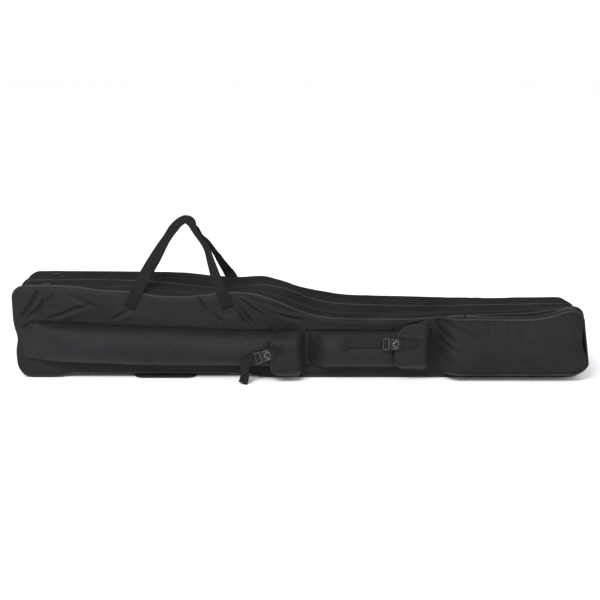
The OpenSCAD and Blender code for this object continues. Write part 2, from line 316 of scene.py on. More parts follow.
class Nodes:
    """A short way to write a material's node tree."""

    def __init__(self, name):
        self.material = bpy.data.materials.new(name)
        self.material.use_nodes = True
        self.tree = self.material.node_tree
        self.shader = self.tree.nodes["Principled BSDF"]

    def fill(self, node, inputs):
        """Sets a node's sockets, or links them where the value is another node's socket."""
        for key, value in inputs.items():
            if isinstance(value, bpy.types.NodeSocket):
                self.tree.links.new(value, node.inputs[key])
            else:
                node.inputs[key].default_value = value

    def shade(self, inputs):
        self.fill(self.shader, inputs)

    def add(self, kind, inputs=None, **props):
        node = self.tree.nodes.new(kind)
        for key, value in props.items():
            setattr(node, key, value)
        self.fill(node, inputs or {})
        return node

    def place(self, output="Object"):
        return self.add("ShaderNodeTexCoord").outputs[output]

    def math(self, operation, a, b=0.0, c=0.0):
        return self.add("ShaderNodeMath", {0: a, 1: b, 2: c}, operation=operation).outputs[0]

    def wave(self, value, length):
        """A sine wave along a coordinate in metres."""
        return self.math("SINE", self.math("MULTIPLY", value, 2 * math.pi / length))

    def noise(self, vector, scale, detail=3.0, rough=0.55):
        inputs = {"Vector": vector, "Scale": scale, "Detail": detail, "Roughness": rough}
        return self.add("ShaderNodeTexNoise", inputs).outputs["Fac"]

    def shades(self, factor, dark, light, low, high):
        node = self.add("ShaderNodeValToRGB", {"Fac": factor})
        for stop, position, colour in zip(node.color_ramp.elements, (low, high), (dark, light)):
            stop.position = position
            stop.color = (*colour, 1)
        return node.outputs["Color"]

    def bump(self, height, distance, strength=1.0, below=None):
        inputs = {"Height": height, "Distance": distance, "Strength": strength}
        if below is not None:
            inputs["Normal"] = below
        return self.add("ShaderNodeBump", inputs).outputs["Normal"]


def cloth_material(name, dark, light, rough, sheen, thread, weave_depth, crumple, spec):
    """Plain-woven cloth: crossing threads, soft mottling and a fine crumple."""
    m = Nodes(name)
    place = m.place()
    split = m.add("ShaderNodeSeparateXYZ", {0: place})
    depth = m.math("ADD", split.outputs[1], split.outputs[2])
    weave = m.math("MULTIPLY", m.wave(split.outputs[0], thread * MM), m.wave(depth, thread * MM))
    stretched = m.add("ShaderNodeMapping", {"Vector": place, "Scale": (0.6, 1.0, 1.3)}).outputs[0]
    folds = m.noise(stretched, 34, 4.0, 0.5)
    mottle = m.noise(place, 7, 5.0, 0.6)
    speckle = m.noise(place, 900, 2.0, 0.5)
    mix = m.math("ADD", m.math("MULTIPLY", mottle, 0.6), m.math("MULTIPLY", speckle, 0.4))
    gloss = m.math("MULTIPLY_ADD", mottle, 0.16, rough - 0.08)
    m.shade({"Base Color": m.shades(mix, dark, light, 0.36, 0.64),
             "Roughness": m.math("MULTIPLY_ADD", weave, -0.04, gloss),
             "Normal": m.bump(weave, weave_depth * MM, 0.7, m.bump(folds, crumple * MM)),
             "Sheen Weight": sheen, "Sheen Roughness": 0.45, "Specular IOR Level": spec})
    return m.material


def webbing_material(name, dark, light):
    """Ribbed herringbone webbing, drawn along the strip's own length and width."""
    m = Nodes(name)
    split = m.add("ShaderNodeSeparateXYZ", {0: m.place("UV")})
    across = m.math("PINGPONG", m.math("ADD", split.outputs[1], 0.08), 0.0042)
    slant = m.math("MULTIPLY_ADD", across, 1.1, split.outputs[0])
    ribs = m.wave(slant, 0.0021)
    weave = m.math("MULTIPLY_ADD", m.wave(split.outputs[1], 0.0016), 0.45, ribs)
    place = m.place()
    mottle = m.noise(place, 22, 4.0, 0.6)
    fuzz = m.noise(place, 1400, 2.0, 0.6)
    grain = m.noise(place, 240, 2.0, 0.7)
    wear = m.math("MULTIPLY_ADD", grain, 0.75, m.math("MULTIPLY", mottle, 0.15))
    mix = m.math("MULTIPLY_ADD", ribs, 0.10, m.math("MULTIPLY_ADD", fuzz, 0.2, wear))
    m.shade({"Base Color": m.shades(mix, dark, light, 0.3, 0.72),
             "Roughness": m.math("MULTIPLY_ADD", mottle, 0.2, 0.62),
             "Normal": m.bump(fuzz, 0.15 * MM, 0.5, m.bump(weave, 0.35 * MM, 0.8)),
             "Sheen Weight": 0.01, "Sheen Roughness": 0.5, "Specular IOR Level": 0.1})
    return m.material


def hard_material(name, dark, light, rough, spec, metallic, coat):
    """Moulded plastic or painted metal with faint scuffs and a fine surface grain."""
    m = Nodes(name)
    scuffs = m.noise(m.place(), 160, 6.0, 0.7)
    fine = m.noise(m.place(), 1680, 3.0, 0.6)
    m.shade({"Base Color": m.shades(scuffs, dark, light, 0.45, 0.75),
             "Roughness": m.math("MULTIPLY_ADD", scuffs, 0.22, rough - 0.08),
             "Normal": m.bump(fine, 0.03 * MM, 0.5),
             "Metallic": metallic, "Specular IOR Level": spec, "Coat Weight": coat, "Coat Roughness": 0.12})
    return m.material


# Each cloth: dark and light colour, roughness, sheen, thread, weave and crumple in mm, specular level
CLOTHS = {
    "shell": ((0.0056, 0.0061, 0.0070), (0.0106, 0.0114, 0.0129), 0.55, 0.015, 0.9, 0.10, 2.0, 0.12),
    # gusset: a shaded copy of the shell cloth, its reflection and sheen taken out so the upward-facing
    # bands read as dark as the front: painted shade
    "gusset": ((0.0080, 0.0086, 0.0092), (0.0165, 0.0174, 0.0184), 0.8, 0.0, 0.9, 0.10, 2.6, 0.01),
    "lining": ((0.014, 0.015, 0.017), (0.024, 0.025, 0.028), 0.7, 0.03, 0.6, 0.06, 0.8, 0.12),
    # piping: the light end of its mottling is painted highlight along the cords, on cloth as dark as the
    # shell
    "piping": ((0.007, 0.0075, 0.008), (0.027, 0.029, 0.031), 0.42, 0.02, 0.8, 0.12, 0.3, 0.2),
    "pad": ((0.009, 0.0095, 0.010), (0.016, 0.017, 0.018), 0.7, 0.03, 1.2, 0.2, 0.8, 0.12),
    "zip_tape": ((0.004, 0.004, 0.0045), (0.010, 0.010, 0.011), 0.6, 0.02, 0.7, 0.12, 0.2, 0.12),
    # thread: dark stitching, also used for the dark cords laid under the pocket hems as painted shadow
    "thread": ((0.002, 0.002, 0.002), (0.005, 0.005, 0.005), 0.6, 0.0, 0.8, 0.05, 0.1, 0.12),
}
WEBS = {
    "webbing": ((0.0022, 0.0025, 0.0025), (0.0128, 0.0137, 0.0135)),
    "tape": ((0.0052, 0.0056, 0.0060), (0.0170, 0.0180, 0.0190)),
}
# Each hard material: dark and light colour, roughness, specular level, metallic, coat
HARD = {
    "buckle": ((0.003, 0.003, 0.0034), (0.007, 0.007, 0.0075), 0.24, 0.22, 0.0, 0.0),
    # ladder: the socket's black plastic made lighter, as painted highlight on the plug's ladder bars
    "ladder": ((0.008, 0.008, 0.0085), (0.016, 0.016, 0.017), 0.22, 0.35, 0.0, 0.1),
    # gloss: glossy black plastic given a light colour, as painted highlight on the socket ridges and the
    # ladder lip
    "gloss": ((0.045, 0.045, 0.047), (0.08, 0.08, 0.083), 0.16, 0.5, 0.0, 0.7),
    "slider": ((0.008, 0.008, 0.0085), (0.018, 0.018, 0.019), 0.45, 0.22, 0.2, 0.0),
}
MATERIALS = {name: make(name, *values)
             for make, table in ((cloth_material, CLOTHS), (webbing_material, WEBS), (hard_material, HARD))
             for name, values in table.items()}


# ---- Camera, floor and light ----

CAMERA_TILT = math.radians(15)
CAMERA_DISTANCE = 3000
FLOOR_HALF = 14.0

camera = bpy.data.cameras.new("camera")
camera.lens = 65
camera.clip_end = 60
camera_holder = bpy.data.objects.new("camera", camera)
bpy.context.scene.collection.objects.link(camera_holder)
view = Vector((0, math.cos(CAMERA_TILT), -math.sin(CAMERA_TILT)))
camera_holder.location = (Vector((0, -FACE_Y, 226)) - view * CAMERA_DISTANCE) * MM
camera_holder.rotation_euler = (math.radians(90) - CAMERA_TILT, 0, 0)
bpy.context.scene.camera = camera_holder
bpy.context.scene.view_settings.view_transform = "Standard"


def area_light(name, place, aim, size, power):
    light = bpy.data.lights.new(name, "AREA")
    light.shape = "RECTANGLE"
    light.size, light.size_y = size
    light.energy = power
    holder = bpy.data.objects.new(name, light)
    bpy.context.scene.collection.objects.link(holder)
    holder.location = place
    holder.rotation_euler = (Vector(aim) - Vector(place)).to_track_quat("-Z", "Y").to_euler()


def studio():
    """A pale floor, a white surround and soft lights from above and from both sides."""
    mesh = bpy.data.meshes.new("floor")
    s = FLOOR_HALF
    mesh.from_pydata([(-s, -s, 0), (s, -s, 0), (s, s, 0), (-s, s, 0)], [], [(0, 1, 2, 3)])
    floor = bpy.data.objects.new("floor", mesh)
    bpy.context.scene.collection.objects.link(floor)
    m = Nodes("floor")
    m.shade({"Base Color": (0.97, 0.97, 0.975, 1), "Roughness": 0.9, "Specular IOR Level": 0.1})
    mesh.materials.append(m.material)
    world = bpy.data.worlds.new("surround")
    world.use_nodes = True
    surround = world.node_tree.nodes["Background"]
    surround.inputs["Color"].default_value = (1, 1, 1, 1)
    surround.inputs["Strength"].default_value = 1.02
    bpy.context.scene.world = world
    area_light("key", (-0.9, -2.4, 2.4), (0, 0, 0.12), (1.6, 0.8), 120)
    area_light("fill", (2.2, -2.2, 1.2), (0.3, 0, 0.12), (1.2, 0.9), 10)


studio()


# ---- The bag's edges, seen from the side ----

FRONT_TOP = keyed([
    (-800, 265), (-705, 268), (-622, 264), (-553, 254), (-476, 249), (-388, 237), (-318, 235),
    (-249, 242), (-199, 247), (-127, 243), (-91, 232), (-53, 218), (-11, 199), (42, 181), (108, 173),
    (300, 171), (380, 176), (520, 184), (620, 187), (690, 195), (745, 204), (800, 208)])
MIDDLE_TOP = keyed([
    (-800, 257), (-560, 258), (-388, 250), (-300, 240), (-203, 233), (-131, 241), (-100, 243), (-54, 235),
    (-11, 222), (14, 209), (86, 191), (200, 184), (371, 181), (520, 184), (800, 188)])
REAR_TOP = keyed([
    (-800, 259), (-353, 255), (-250, 245), (-177, 241), (-112, 243), (-59, 231), (0, 212), (88, 194),
    (147, 187), (295, 183), (530, 177), (678, 179), (800, 180)])
TOPS = {"front": FRONT_TOP, "rear": REAR_TOP}

# Radii of the upper corners, and how finely the outlines are divided
LEFT_R = 34
RIGHT_R = 30
ARC_N = 10
EDGE_STEP = 8.0
EDGE_N = 300
SEAM_GAP = 0.25
STRIP_N = 220
BASE_ROWS = 24

# The low arch under the bag, and the radius of its lower corners
ARCH_X = (-700, -90)
ARCH_H = 14
ARCH_RAMP = 60
CAMBER = 46


def zip_top(x, word):
    """Height of a zip's parting line: straight where its slider runs, sagging after it."""
    soft = (TOPS[word](x) + MIDDLE_TOP(x)) / 2
    return lerp(REEL_Z, soft, ramp(x, -470, -400))


def under_z(x):
    rise = ramp(x, ARCH_X[0], ARCH_X[0] + ARCH_RAMP) * (1 - ramp(x, ARCH_X[1] - ARCH_RAMP, ARCH_X[1]))
    return ARCH_H * rise


def end_lean(z, left):
    """How far the end walls stand in from the bag's ends at height z."""
    if left:
        return 3 + 9 * math.exp(-((z - 115) / 30) ** 2) + 4 * (1 - ramp(z, 40, 100))
    return 1 + 11 * ramp(z, 62, 118)


def edge_path(top, inset=0.0):
    """Outline of the bag above SIDE_Z: up the left end, along the top and down the right end."""
    left = -END_X + inset
    right = END_X - inset
    z_left = top(left + LEFT_R) - inset - LEFT_R
    z_right = top(right - RIGHT_R) - inset - RIGHT_R
    points = [(left + end_lean(z, True), z) for z in spread(SIDE_Z, z_left, EDGE_STEP)[:-1]]
    for across, up in quarter(180, ARC_N)[:-1]:
        z = z_left + LEFT_R * up
        points.append((left + end_lean(z, True) + LEFT_R + LEFT_R * across, z))
    points += [(x, top(x) - inset) for x in spread(left + LEFT_R, right - RIGHT_R, EDGE_STEP)[:-1]]
    for across, up in quarter(90, ARC_N)[:-1]:
        z = z_right + RIGHT_R * up
        points.append((right - end_lean(z, False) - RIGHT_R + RIGHT_R * across, z))
    return points + [(right - end_lean(z, False), z) for z in spread(z_right, SIDE_Z, EDGE_STEP)]


def low_corner(left, from_z, inset):
    """The rounded lower corner at one end of the bag, up to from_z."""
    inwards = 1 if left else -1
    wall = -inwards * (END_X - inset)
    points = []
    for across, up in quarter(270 if left else 0, ARC_N)[::-1]:
        z = CAMBER + CAMBER * up
        if z < from_z:
            x = wall + inwards * (end_lean(z, left) + CAMBER) + CAMBER * across
            points.append((x, max(z, 0) + inset))
    return points


def low_path(from_z, inset=0.0):
    """Outline of the bag below from_z: down the left end, along the underside and up the right end."""
    first = (-END_X + inset + end_lean(from_z, True), from_z)
    last = (END_X - inset - end_lean(from_z, False), from_z)
    run = spread(-END_X + CAMBER + 20, END_X - CAMBER - 10, EDGE_STEP)[1:-1]
    return ([first] + low_corner(True, from_z, inset) + [(x, under_z(x) + inset) for x in run]
            + low_corner(False, from_z, inset) + [last])


def same_count(path, count):
    """Resamples a side-view path to a fixed number of points."""
    flat = resample([(x, 0, z) for x, z in path], 1.0)
    return [flat[round(i * (len(flat) - 1) / (count - 1))] for i in range(count)]


def normals_2d(path, closed=False):
    """Outward normals of a side-view path that runs clockwise."""
    return [Vector((-d.z, 0, d.x)) for d in frames_along(path, closed)]


def band_rows(y0, path0, y1, path1, puff, wrinkle, seed):
    """Rows across a gusset band between two edges, with cloth that swells between them."""
    a = same_count(path0, EDGE_N)
    b = same_count(path1, EDGE_N)
    n = max(3, round(abs(y1 - y0) / 3))
    rolls = 2 if abs(y1 - y0) > 40 else 1
    rows = []
    for i in range(n):
        t = i / n
        y = lerp(y0, y1, t)
        arch = math.sin(math.pi * t)
        swell = puff * abs(math.sin(rolls * math.pi * t)) ** 0.7 + 0.6 * puff * arch
        middle = [u.lerp(v, t) for u, v in zip(a, b)]
        row = []
        for k, (p, out) in enumerate(zip(middle, normals_2d(middle))):
            sewn = smooth(min(k, EDGE_N - 1 - k) / 7)
            fold = rumple(p.x, y * 0.6, p.z, 70, seed) + 0.5 * rumple(p.x, y, p.z, 26, seed + 5)
            row.append(Vector((p.x, y, p.z)) + out * sewn * (swell + wrinkle * arch ** 0.5 * fold))
        rows.append(row)
    rows.append([Vector((p.x, y1, p.z)) for p in b])
    return rows


def zip_path(word, inset):
    return edge_path(lambda x: zip_top(x, word), inset)


def flip(rows, side):
    """Mirrors rows to the back of the bag when side is 1."""
    return [[Vector((p.x, -side * p.y, p.z)) for p in row] for row in rows]


def make_bands():
    """The cloth of the gusset: a rim on each cover, and the standing bands beside the middle piping."""
    middle = edge_path(MIDDLE_TOP)
    for side, word in SIDES:
        seam = zip_path(word, 0.5)
        rim = band_rows(-FACE_Y + 1, edge_path(TOPS[word]), -ZIP_Y - 7, seam, 1.4, 2.6, 11 + side)
        sheet_piece(word + "_rim_cloth", flip(rim, side), PANEL_T, word + "_cover", "gusset",
                    (word + "_rim",))
        band = band_rows(-ZIP_Y + 7, seam, 0, middle, 1.6, 3.4, 21 + side)
        sheet_piece(word + "_band_cloth", flip(band, side), PANEL_T, "bag", "gusset",
                    (word + "_inner_band",))


def add_zip_half(bm, path, edge, far, warp=lambda p: p):
    """A zip tape from y = edge to y = far, with a row of coil turns along its free edge."""
    points = resample([(x, 0, z) for x, z in path], 1.3)
    out = 1 if far > edge else -1
    rows = []
    for i, (p, o) in enumerate(zip(points, normals_2d(points))):
        tooth = 1.0 if i % 2 else 0.15
        profile = [(edge + ZIP_GAP * out, 0.4 + 1.1 * tooth), (edge + 1.6 * out, 0.7 + 1.3 * tooth),
                   (edge + 2.6 * out, 0.4 + 0.5 * tooth), (edge + 3.0 * out, 0.1), (far, 0.0), (far, -1.0),
                   (edge + ZIP_GAP * out, -1.0)]
        rows.append([warp(Vector((p.x, y, p.z)) + o * h) for y, h in profile])
    add_bar(bm, rows)


def zip_halves(name, cover, base, parting, path, warp=lambda p: p, mirror=1):
    """Both halves of a zip about its parting line: the outer on its cover, the inner on what stays."""
    for part, body, out in (("outer", cover, -1), ("inner", base, 1)):
        bm = bmesh.new()
        add_zip_half(bm, path, -parting + ZIP_GAP * out, -parting + ZIP_W * out, warp)
        for v in bm.verts:
            v.co.y *= mirror
        node = name + "_" + part
        finish_mesh(node + "_coil", bm, body, "zip_tape", (node,), smooth_shade=False)


def make_zips():
    for side, word in SIDES:
        zip_halves(word + "_zip", word + "_cover", "bag", ZIP_Y, zip_path(word, 0.2), mirror=-side)


def make_piping():
    bm = bmesh.new()
    path = [(x, 0, z) for x, z in edge_path(MIDDLE_TOP)]
    add_tube(bm, resample(path, 5), THIN_PIPING_R)
    finish_mesh("middle_piping_cord", bm, "bag", "piping", ("middle_piping",))
    for side, word in SIDES:
        bm = bmesh.new()
        loop = edge_path(TOPS[word], 0.5) + low_path(SIDE_Z, 0.5)[::-1][1:-1]
        loop = [(x, side * (FACE_Y + 0.6), max(z, 4.6)) for x, z in loop]
        add_tube(bm, resample(loop + [loop[0]], 5)[:-1], PIPING_R, closed=True)
        finish_mesh(word + "_piping_cord", bm, word + "_cover", "piping", (word + "_piping",))


def panel_rows(top, side, relief, step=3.6, rows_n=70):
    """Rows of a cover's panel between its underside and its top edge."""
    xs = []
    x = -END_X + 1.0
    while x < END_X - 1:
        xs.append(x)
        x += step if abs(x) < END_X - 40 else 2.5
    xs.append(END_X - 1.0)
    grid = []
    for x in xs:
        gap = END_X - abs(x)
        low = under_z(x) + 2.2 + corner_cut(gap, CAMBER)
        high = top(x) - corner_cut(gap, LEFT_R if x < 0 else RIGHT_R)
        column = []
        for j in range(rows_n + 1):
            v = j / rows_n
            z = lerp(low, high, v)
            shift = end_lean(z, True) * (1 - ramp(x, -END_X, -END_X + 110))
            shift -= end_lean(z, False) * ramp(x, END_X - 110, END_X)
            fade = min(1.0, min(v, 1 - v) * (high - low) / 14, gap / 14)
            column.append(Vector((x + shift, side * (FACE_Y + relief(x, z) * smooth(fade)), z)))
        grid.append(column)
    return grid


def sewn_flat(x, z, centres):
    """Zero where a handle is sewn down, one away from it."""
    keep = 1.0
    for c in centres:
        gap = max(abs(x - c) - 18, abs(z - 222) - 20)
        keep *= ramp(gap, -2, 26)
    return keep


# Each fold: its two ends in the side view, its width and its depth
FRONT_FOLDS = [
    ((-778, 172), (-716, 262), 8, 4.6), ((-770, 166), (-672, 246), 7, 3.8),
    ((-745, 172), (-700, 240), 6, 3.4), ((-700, 172), (-575, 214), 9, 2.6),
    ((-640, 240), (-560, 205), 9, 2.0), ((-446, 192), (-428, 238), 5, 5.0),
    ((-432, 236), (-398, 243), 5, 3.2), ((-462, 200), (-520, 170), 8, 3.0),
    ((-306, 240), (-276, 228), 5, 3.6), ((-280, 230), (-258, 196), 5, 4.6),
    ((-226, 212), (-204, 182), 6, 4.4), ((-205, 238), (-150, 160), 5, 6.0),
    ((-190, 230), (-128, 158), 5, 5.2), ((-176, 236), (-96, 178), 5, 4.2),
    ((-160, 240), (-30, 196), 6, 4.6), ((-120, 236), (24, 180), 6, 4.0), ((-60, 186), (40, 158), 8, 2.4),
    ((-240, 190), (-215, 164), 6, 3.4), ((300, 152), (352, 168), 7, 2.6)]
REAR_FOLDS = [
    ((-770, 40), (-640, 130), 15, 4.0), ((-440, 215), (-500, 120), 13, 3.6),
    ((-210, 215), (-130, 110), 13, 3.6), ((-330, 60), (-200, 95), 14, 3.0),
    ((-60, 190), (70, 90), 15, 3.6), ((180, 40), (330, 110), 15, 3.0), ((480, 150), (640, 60), 15, 3.2),
    ((700, 160), (770, 70), 12, 3.4)]


def front_relief(x, z):
    """Swell and folds of the front panel, in millimetres outwards."""
    out = 2.5 + 2.0 * rumple(x, 0, z, 190, 1.3) + 1.3 * rumple(x, 0, z * 1.5, 60, 4.1)
    out += 0.7 * rumple(x, 0, z, 24, 7.7)
    for a, b, width, depth in FRONT_FOLDS:
        out += crease(x, z, a, b, width, 1.5 * depth)
    out *= sewn_flat(x, z, (-457, -199))
    for seam in (20, 378):
        out *= ramp(max(abs(x - seam) - 14, abs(z - 90) - 76), -2, 14)
    return max(out, -3.0)


def rear_relief(x, z):
    """Swell and folds of the plain rear panel, in millimetres outwards."""
    middle = math.sin(math.pi * min(1.0, max(0.0, z / 240)))
    out = 4.0 * middle + 3.2 * rumple(x, 0, z, 230, 9.2) + 1.8 * rumple(x * 0.8, 0, z * 1.4, 80, 14.1)
    out += 0.7 * rumple(x, 0, z, 26, 17.7)
    for a, b, width, depth in REAR_FOLDS:
        out += crease(x, z, a, b, width, depth)
    return max(min(out, 10.0), -1.5) * sewn_flat(x, z, (-449, -191))


def make_panels():
    for (side, word), relief in zip(SIDES, (front_relief, rear_relief)):
        sheet_piece(word + "_panel_cloth", panel_rows(TOPS[word], side, relief), PANEL_T, word + "_cover",
                    "shell", (word + "_panel",))


def make_base():
    """The base cloth: lower ends and underside, with the seam cords along its long edges."""
    path = same_count(low_path(SIDE_Z - SEAM_GAP), EDGE_N)
    rows = []
    for i in range(BASE_ROWS + 1):
        y = lerp(-BASE_Y, BASE_Y, i / BASE_ROWS)
        row = []
        for p in path:
            lift = 0.0
            if p.z > 8:
                lift = 1.2 * rumple(p.x, y, p.z, 60, 31) * (1 - ramp(p.z, SIDE_Z - 18, SIDE_Z - 1))
            row.append(Vector((p.x - lift, y, max(p.z, 0.0))))
        rows.append(row)
    sheet_piece("base_cloth", rows, -PANEL_T, "bag", "gusset", ("base_gusset",))
    bm = bmesh.new()
    for side in (-1, 1):
        for a, b in ((-END_X + CAMBER, ARCH_X[0]), (ARCH_X[1], END_X - CAMBER)):
            add_tube(bm, [(x, side * (BASE_Y + SEAM_R), 1.5) for x in (a, (a + b) / 2, b)], SEAM_R)
    finish_mesh("base_seam_cords", bm, "bag", "piping", ("base_piping",))


def make_fold_strips():
    """Cloth along the lower edges, where each cover folds away from the base."""
    path = same_count(low_path(SIDE_Z - 0.4), STRIP_N)
    profile = [(BASE_Y - 8, 2.6), (BASE_Y - 4, 2.6), (BASE_Y - 2, 2.7), (BASE_Y, 2.9), (FACE_Y - 2.5, 3.6),
               (FACE_Y - 1.8, 5), (FACE_Y - 1.6, 8), (FACE_Y - 1.6, 14)]
    for side, word in SIDES:
        rows = [[Vector((p.x, side * y, p.z)) + o * depth for y, depth in profile]
                for p, o in zip(path, normals_2d(path))]
        piece = sheet_piece(word + "_fold_cloth", rows, 0.8 * side, None, "gusset")
        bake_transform(piece)


def make_divider():
    rows = []
    for row in panel_rows(lambda x: MIDDLE_TOP(x) - 4, -1, lambda x, z: 0.0, 16.0, 20):
        rows.append([Vector((p.x * 0.995, 1.5 * rumple(p.x, 0, p.z, 120, 8) - 0.5, max(p.z, 2)))
                     for p in row])
    sheet_piece("divider_cloth", rows, 1.4, "bag", "lining", ("divider_panel",))


make_panels()
make_bands()
make_zips()
make_piping()
make_base()
make_fold_strips()
make_divider()


# ---- Cloth that settles under its own filling ----

SETTLE_FRAMES = 20


def settle(rows, pressure, grow, cap):
    """Lets Blender's Cloth swell and wrinkle a sheet inside its pinned edges, by at most cap mm."""
    n = len(rows)
    m = len(rows[0])
    mesh = bpy.data.meshes.new("settling")
    mesh.from_pydata([p * MM for row in rows for p in row], [],
                     [(i * m + j, i * m + j + 1, (i + 1) * m + j + 1, (i + 1) * m + j)
                      for i in range(n - 1) for j in range(m - 1)])
    piece = bpy.data.objects.new("settling", mesh)
    bpy.context.scene.collection.objects.link(piece)
    edges = [i * m + j for i in range(n) for j in range(m) if i in (0, n - 1) or j in (0, m - 1)]
    piece.vertex_groups.new(name="pinned").add(edges, 1.0, "REPLACE")
    cloth = piece.modifiers.new("cloth", "CLOTH")
    for key, value in {"quality": 6, "mass": 0.15, "tension_stiffness": 12, "compression_stiffness": 12,
                       "shear_stiffness": 6, "bending_stiffness": 0.6, "vertex_group_mass": "pinned",
                       "use_pressure": True, "uniform_pressure_force": pressure, "shrink_min": -grow,
                       "shrink_max": -grow}.items():
        setattr(cloth.settings, key, value)
    cloth.settings.effector_weights.gravity = 0
    cloth.collision_settings.use_collision = False
    cloth.collision_settings.use_self_collision = False
    cloth.point_cache.frame_start = 1
    cloth.point_cache.frame_end = SETTLE_FRAMES
    for frame_number in range(1, SETTLE_FRAMES + 1):
        bpy.context.scene.frame_set(frame_number)
    depsgraph = bpy.context.evaluated_depsgraph_get()
    settled = iter([v.co / MM for v in piece.evaluated_get(depsgraph).data.vertices])
    bpy.context.scene.frame_set(1)
    bpy.data.objects.remove(piece)
    bpy.data.meshes.remove(mesh)

    def capped(p):
        move = next(settled) - p
        return p + (move.normalized() * cap if move.length > cap else move)

    return [[capped(p) for p in row] for row in rows]


def refine(rows):
    """Doubles a sheet's rows and columns along smooth curves."""
    def double(line):
        out = []
        padded = [line[0], *line, line[-1]]
        for p0, p1, p2, p3 in zip(padded, padded[1:], padded[2:], padded[3:]):
            out += [p1, (9 * (p1 + p2) - p0 - p3) / 16]
        return out + [line[-1]]

    wide = [double(row) for row in rows]
    columns = [double(list(column)) for column in zip(*wide)]
    return [list(row) for row in zip(*columns)]


# ---- Tube pockets ----

TUBE_N = 26


def tube_rows(xs, low, high, out):
    """Rows along X of a half-round tube; low, high and out give its edges and depth at each x."""
    rows = []
    for x in xs:
        middle = (low(x) + high(x)) / 2
        half = (high(x) - low(x)) / 2
        row = []
        for k in range(TUBE_N + 1):
            a = math.pi * k / TUBE_N
            bulge = max(0.0, math.sin(a)) ** 0.62
            row.append(Vector((x, -FACE_Y - 0.8 - out(x) * bulge, middle - half * math.cos(a))))
        rows.append(row)
    return rows


LONG_TOP = keyed([(-790, 138), (-776, 146), (-749, 163), (-700, 163), (-555, 156), (-416, 150), (-277, 144),
                  (-77, 139)])
LONG_LOW = keyed([(-790, 66), (-770, 56), (-555, 48), (-416, 43), (-77, 42)])


def long_depth(x):
    """The long pocket's depth: full along its length, closed at its left end."""
    end = ramp(x, LONG_X[0] - 8, LONG_X[0] + 150) ** 0.62
    return (LONG_OUT - 1.5) * max(end, 0.03) - 6 * ramp(x, LONG_X[1] - 26, LONG_X[1] + 4)


def make_tube_pocket(word, rows, bumps, grow, cap):
    """A tube pocket's cloth, rumpled and then settled; each bump is its height, size and seed."""
    for row in rows:
        for p in row:
            p.y -= sum(height * rumple(p.x, 0, p.z, size, seed) for height, size, seed in bumps)
    sheet_piece(word + "_pocket_cloth", refine(settle(rows, -3.0, grow, cap)), -POCKET_T, "front_cover",
                "shell", (word + "_pocket",))


SHORT_SLANT = 34


def short_depth(x):
    swell = ramp(x, SHORT_X[0] + 2, SHORT_X[0] + SHORT_SLANT + 24)
    return (SHORT_OUT - 1.5) * swell - 6 * ramp(x, SHORT_X[1] - 26, SHORT_X[1] + 4)


def add_tape(bm, path, width, thickness):
    """A flat cloth tape lying on the front panel along a path."""
    rows = []
    for p, d in zip(path, frames_along(path)):
        side = OUT.cross(d).normalized()
        profile = [(-0.5, 0.0), (-0.5, 0.7), (-0.42, 1.0), (0.42, 1.0), (0.5, 0.7), (0.5, 0.0)]
        rows.append([p + side * width * f + OUT * thickness * h for f, h in profile])
    add_bar(bm, rows)


def make_pocket_hems(word, xs, edges):
    """The turned-over seam cloth along a tube pocket's edges, and a painted shadow cord in the gap it
    leaves.

    Each edge is its height at x, then how far the tape stands out and up, its width and its thickness,
    and how far the painted shadow cord stands out and up and its radius.
    """
    tapes = bmesh.new()
    painted_shadow_cords = bmesh.new()
    for height, (out, up, width, thick), (shadow_cord_out, shadow_cord_up, radius) in edges:
        add_tape(tapes, [Vector((x, -FACE_Y - out, height(x) + up)) for x in xs], width, thick)
        add_tube(painted_shadow_cords, [Vector((x, -FACE_Y - shadow_cord_out, height(x) + shadow_cord_up)) for x in xs], radius)
    finish_mesh(word + "_pocket_seam_tape", tapes, "front_cover", "shell", (word + "_pocket_hem",))
    # The dark cords in the thread material are painted shadow under each hem.
    finish_mesh(word + "_pocket_seam", painted_shadow_cords, "front_cover", "thread")


# ---- Flaps ----

FLAP_ROWS = 26
FLAP_COLS = 30
FLAP_ROUND = 46


def flap_rows(node, seed):
    """Rows of a hooded flap from its sewn seam out over the pocket's mouth."""
    low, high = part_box(node)
    edge = low.x / MM + 0.5
    front = -low.y / MM
    z0 = low.z / MM - 3
    z1 = high.z / MM + 3
    rows = []
    for i in range(FLAP_ROWS + 1):
        t = i / FLAP_ROWS
        x = lerp(high.x / MM - 1, edge, t)
        k = ramp(t, -0.02, 0.24) ** 0.9
        y = -lerp(FACE_Y + 2.6, front, k)
        cut = corner_cut(x - edge, FLAP_ROUND)
        bottom = z0 + cut + 6 * (1 - k)
        top = z1 - cut - 14 * (1 - k)
        row = []
        for j in range(FLAP_COLS + 1):
            z = lerp(bottom, top, j / FLAP_COLS)
            s = abs(2 * (z - (z0 + z1) / 2) / (z1 - z0))
            tuck = (front - FACE_Y) * 0.6 * k * smooth((s - 0.58) / 0.5) ** 1.3
            wave = 1.4 * rumple(x, 0, z, 42, seed) * (0.4 + k)
            row.append(Vector((x, y + tuck - wave, z)))
        rows.append(row)
    return rows


def make_flap(body, seed):
    rows = refine(settle(flap_rows(body, seed), 2.0, 0.010, 1.6))
    sheet_piece(body + "_cloth", rows, -FLAP_T, body, "shell", (body,))
    bm = bmesh.new()
    border = [r[0] for r in rows] + rows[-1][1:-1] + [r[-1] for r in rows[::-1]]
    add_tube(bm, resample(border, 3.5), BINDING_R)
    finish_mesh(body + "_edge_binding", bm, body, "piping", (body + "_binding",))


# ---- Tip pocket ----

